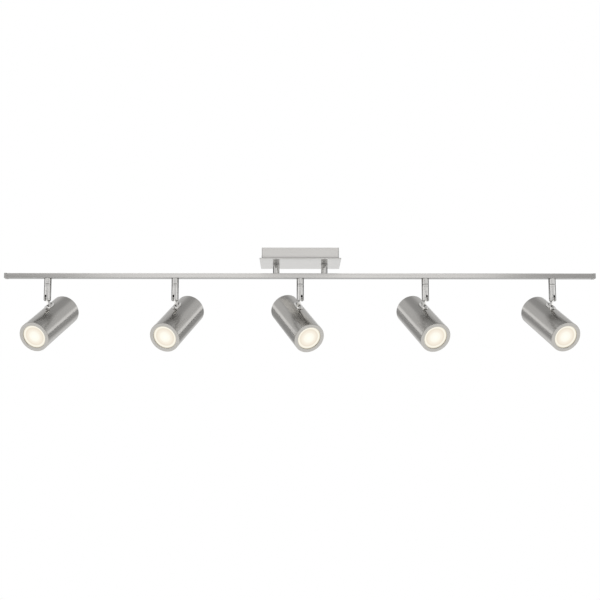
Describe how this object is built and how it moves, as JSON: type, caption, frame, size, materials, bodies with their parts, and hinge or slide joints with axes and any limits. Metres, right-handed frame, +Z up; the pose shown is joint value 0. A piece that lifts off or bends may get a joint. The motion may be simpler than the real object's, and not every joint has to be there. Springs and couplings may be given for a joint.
{
  "type": "track lighting fixture",
  "caption": "Ceiling track light: a straight rail hung on posts from a rectangular canopy, with a row of cylindrical spotlights that each swivel and tilt.",
  "frame": {"origin": "middle of the canopy on the ceiling plane", "axes": "+X along the rail, +Z up into the ceiling, and the spotlights aim towards -Y"},
  "size_m": [1.15, 0.1411, 0.1978],
  "materials": {
    "zinc_steel": "plain zinc-plated steel",
    "satin_canopy": "satin nickel on the canopy box and plate",
    "satin_rail": "satin nickel, brushed along the rail",
    "brushed_nickel": "brushed nickel, grain along the barrel",
    "satin_ring": "matte satin nickel",
    "polished_nickel": "polished nickel",
    "bright_screws": "bright nickel-plated screws",
    "earth_brass": "plain brass",
    "cap_plastic": "grey moulded plastic with a satin face",
    "terminal_plastic": "off-white moulded plastic",
    "lead_insulation": "white silicone insulation",
    "ceramic": "glazed ceramic",
    "lamp_white": "white lamp body",
    "lamp_glass": "frosted lamp lens, warm white when lit"
  },
  "bodies": {
    "fixture": {"mounting_bracket": "zinc_steel", "canopy_box": "satin_canopy", "canopy_plate": "satin_canopy", "canopy_screws": "bright_screws", "earth_screw": "earth_brass", "post_left": "polished_nickel", "post_right": "polished_nickel", "thin_nuts": "zinc_steel", "rail": "satin_rail", "end_cap_left": "cap_plastic", "end_cap_right": "cap_plastic", "arm_collars": "polished_nickel", "swivel_nipples": "zinc_steel", "terminal_block": "terminal_plastic", "rail_wiring": "lead_insulation"},
    "arm_1": {"swivel_stem_1": "polished_nickel", "arm_screws_1": "bright_screws"},
    "spotlight_1": {"knuckle_1": "polished_nickel", "knuckle_screws_1": "bright_screws", "housing_1": "brushed_nickel", "front_ring_1": "satin_ring", "lamp_holder_1": "ceramic", "lamp_body_1": "lamp_white", "lamp_lens_1": "lamp_glass"},
    "arm_2": {"swivel_stem_2": "polished_nickel", "arm_screws_2": "bright_screws"},
    "spotlight_2": {"knuckle_2": "polished_nickel", "knuckle_screws_2": "bright_screws", "housing_2": "brushed_nickel", "front_ring_2": "satin_ring", "lamp_holder_2": "ceramic", "lamp_body_2": "lamp_white", "lamp_lens_2": "lamp_glass"},
    "arm_3": {"swivel_stem_3": "polished_nickel", "arm_screws_3": "bright_screws"},
    "spotlight_3": {"knuckle_3": "polished_nickel", "knuckle_screws_3": "bright_screws", "housing_3": "brushed_nickel", "front_ring_3": "satin_ring", "lamp_holder_3": "ceramic", "lamp_body_3": "lamp_white", "lamp_lens_3": "lamp_glass"},
    "arm_4": {"swivel_stem_4": "polished_nickel", "arm_screws_4": "bright_screws"},
    "spotlight_4": {"knuckle_4": "polished_nickel", "knuckle_screws_4": "bright_screws", "housing_4": "brushed_nickel", "front_ring_4": "satin_ring", "lamp_holder_4": "ceramic", "lamp_body_4": "lamp_white", "lamp_lens_4": "lamp_glass"},
    "arm_5": {"swivel_stem_5": "polished_nickel", "arm_screws_5": "bright_screws"},
    "spotlight_5": {"knuckle_5": "polished_nickel", "knuckle_screws_5": "bright_screws", "housing_5": "brushed_nickel", "front_ring_5": "satin_ring", "lamp_holder_5": "ceramic", "lamp_body_5": "lamp_white", "lamp_lens_5": "lamp_glass"}
  },
  "joints": [
    {"name": "swivel_1", "type": "hinge", "parent": "fixture", "child": "arm_1", "pos_m": [-0.4911, 0, -0.0908], "axis": [0, 0, 1], "range_deg": [-156.6, 193.4]},
    {"name": "tilt_1", "type": "hinge", "parent": "arm_1", "child": "spotlight_1", "pos_m": [-0.4911, 0, -0.0908], "axis": [0.9489, -0.3156, 0], "range_deg": [-30.6, 59.4]},
    {"name": "swivel_2", "type": "hinge", "parent": "fixture", "child": "arm_2", "pos_m": [-0.2435, 0, -0.0908], "axis": [0, 0, 1], "range_deg": [-155, 195]},
    {"name": "tilt_2", "type": "hinge", "parent": "arm_2", "child": "spotlight_2", "pos_m": [-0.2435, 0, -0.0908], "axis": [0.9397, -0.342, 0], "range_deg": [-31.7, 58.3]},
    {"name": "swivel_3", "type": "hinge", "parent": "fixture", "child": "arm_3", "pos_m": [0, 0, -0.0908], "axis": [0, 0, 1], "range_deg": [-200.4, 149.6]},
    {"name": "tilt_3", "type": "hinge", "parent": "arm_3", "child": "spotlight_3", "pos_m": [0, 0, -0.0908], "axis": [0.9033, 0.4289, 0], "range_deg": [-33.3, 56.7]},
    {"name": "swivel_4", "type": "hinge", "parent": "fixture", "child": "arm_4", "pos_m": [0.2435, 0, -0.0908], "axis": [0, 0, 1], "range_deg": [-194.4, 155.6]},
    {"name": "tilt_4", "type": "hinge", "parent": "arm_4", "child": "spotlight_4", "pos_m": [0.2435, 0, -0.0908], "axis": [0.9432, 0.3322, 0], "range_deg": [-32, 58]},
    {"name": "swivel_5", "type": "hinge", "parent": "fixture", "child": "arm_5", "pos_m": [0.4911, 0, -0.0908], "axis": [0, 0, 1], "range_deg": [-193, 157]},
    {"name": "tilt_5", "type": "hinge", "parent": "arm_5", "child": "spotlight_5", "pos_m": [0.4911, 0, -0.0908], "axis": [0.9511, 0.309, 0], "range_deg": [-30.5, 59.5]}
  ]
}
